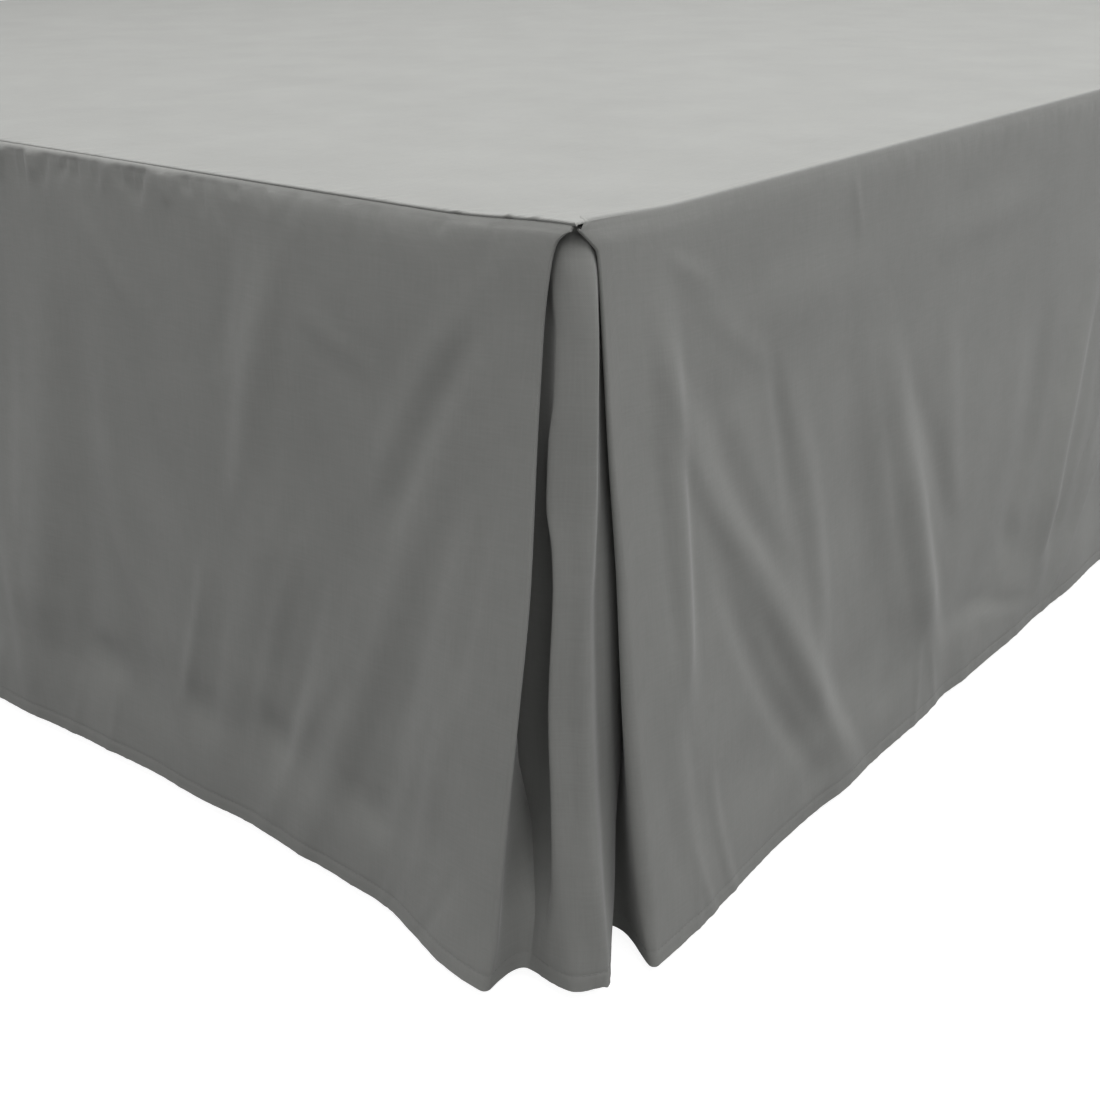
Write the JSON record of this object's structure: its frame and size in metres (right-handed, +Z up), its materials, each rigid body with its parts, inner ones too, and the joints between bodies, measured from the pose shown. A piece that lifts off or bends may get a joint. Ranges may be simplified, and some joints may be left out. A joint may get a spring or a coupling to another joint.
{
  "type": "bed skirt on a box spring bed base",
  "caption": "Tailored bed skirt with a flat deck, smooth hanging drops and an inverted pleat at each foot corner, on a plain box spring and steel base.",
  "frame": {"origin": "on the floor, below the middle of the whole outline in plan", "axes": "+Z up, +Y along the bed towards the open head end, +X across the bed to the right as seen from the foot end"},
  "size_m": [1.5924, 2.0906, 0.389],
  "materials": {
    "skirt_cloth": "matte brushed microfibre with a faint sheen",
    "spring_ticking": "plain woven ticking",
    "frame_steel": "satin powder coat",
    "glide_plastic": "matte"
  },
  "bodies": {
    "root": {"deck_panel": "skirt_cloth", "drop_foot": "skirt_cloth", "drop_right": "skirt_cloth", "drop_left": "skirt_cloth", "pleat_right": "skirt_cloth", "pleat_left": "skirt_cloth", "box_spring": "spring_ticking", "bearer_1": "frame_steel", "bearer_2": "frame_steel", "bearer_3": "frame_steel", "bearer_4": "frame_steel", "bearer_5": "frame_steel", "rail_left": "frame_steel", "leg_left_foot": "frame_steel", "glide_left_foot": "glide_plastic", "leg_left_centre": "frame_steel", "glide_left_centre": "glide_plastic", "leg_left_head": "frame_steel", "glide_left_head": "glide_plastic", "rail_middle": "frame_steel", "leg_middle_foot": "frame_steel", "glide_middle_foot": "glide_plastic", "leg_middle_centre": "frame_steel", "glide_middle_centre": "glide_plastic", "leg_middle_head": "frame_steel", "glide_middle_head": "glide_plastic", "rail_right": "frame_steel", "leg_right_foot": "frame_steel", "glide_right_foot": "glide_plastic", "leg_right_centre": "frame_steel", "glide_right_centre": "glide_plastic", "leg_right_head": "frame_steel", "glide_right_head": "glide_plastic"}
  },
  "joints": []
}
